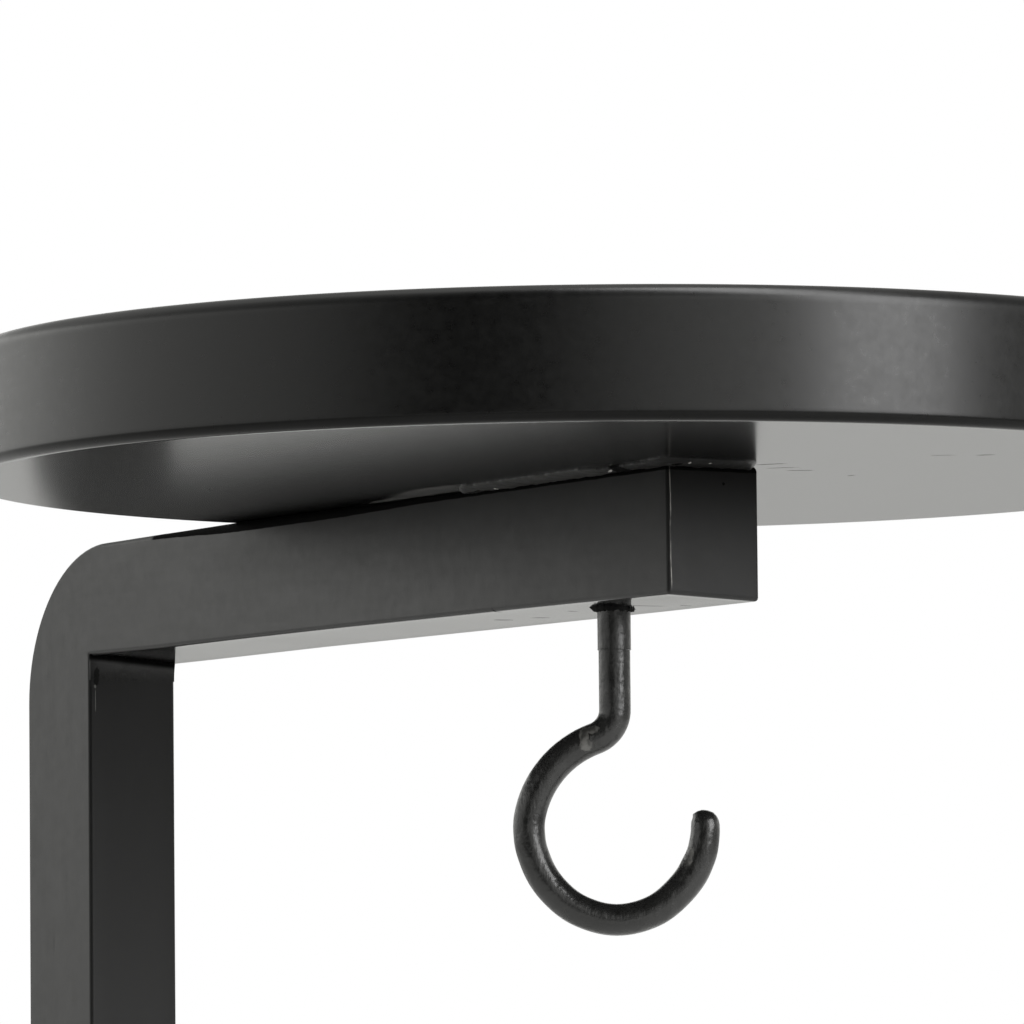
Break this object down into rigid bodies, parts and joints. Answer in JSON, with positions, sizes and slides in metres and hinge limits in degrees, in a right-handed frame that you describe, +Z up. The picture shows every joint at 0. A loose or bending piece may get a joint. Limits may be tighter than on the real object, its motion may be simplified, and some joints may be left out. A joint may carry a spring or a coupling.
{
  "type": "wall plant rack",
  "caption": "Round wooden shelf on an L-shaped wooden wall bracket with a rounded outer corner and a steel screw hook under the arm.",
  "frame": {"origin": "seat of the upper wall screw in the upper keyhole plate, in the plane of the wall", "axes": "+Z up, +Y into the wall along its normal, so the arm runs out along -Y, and +X to the right for someone facing the wall"},
  "size_m": [0.25, 0.332, 0.35],
  "materials": {
    "shelf_lacquer": "satin black lacquer over fine-grained wood",
    "bracket_lacquer": "satin black lacquer over fine-grained wood, a little drier than the shelf",
    "dowel_wood": "bare beech",
    "hook_paint": "thin semi-gloss black paint on steel wire",
    "plate_steel": "zinc plated, stamped",
    "screw_steel": "zinc plated"
  },
  "bodies": {
    "root": {"shelf_disc": "shelf_lacquer", "bracket_arm": "bracket_lacquer", "bracket_leg": "bracket_lacquer", "corner_dowel_left": "dowel_wood", "corner_dowel_right": "dowel_wood", "shelf_dowel_rear": "dowel_wood", "shelf_dowel_middle": "dowel_wood", "shelf_dowel_front": "dowel_wood", "screw_hook": "hook_paint", "keyhole_plate_upper": "plate_steel", "keyhole_plate_lower": "plate_steel", "plate_screw_upper_top": "screw_steel", "plate_screw_upper_bottom": "screw_steel", "plate_screw_lower_top": "screw_steel", "plate_screw_lower_bottom": "screw_steel"}
  },
  "joints": []
}
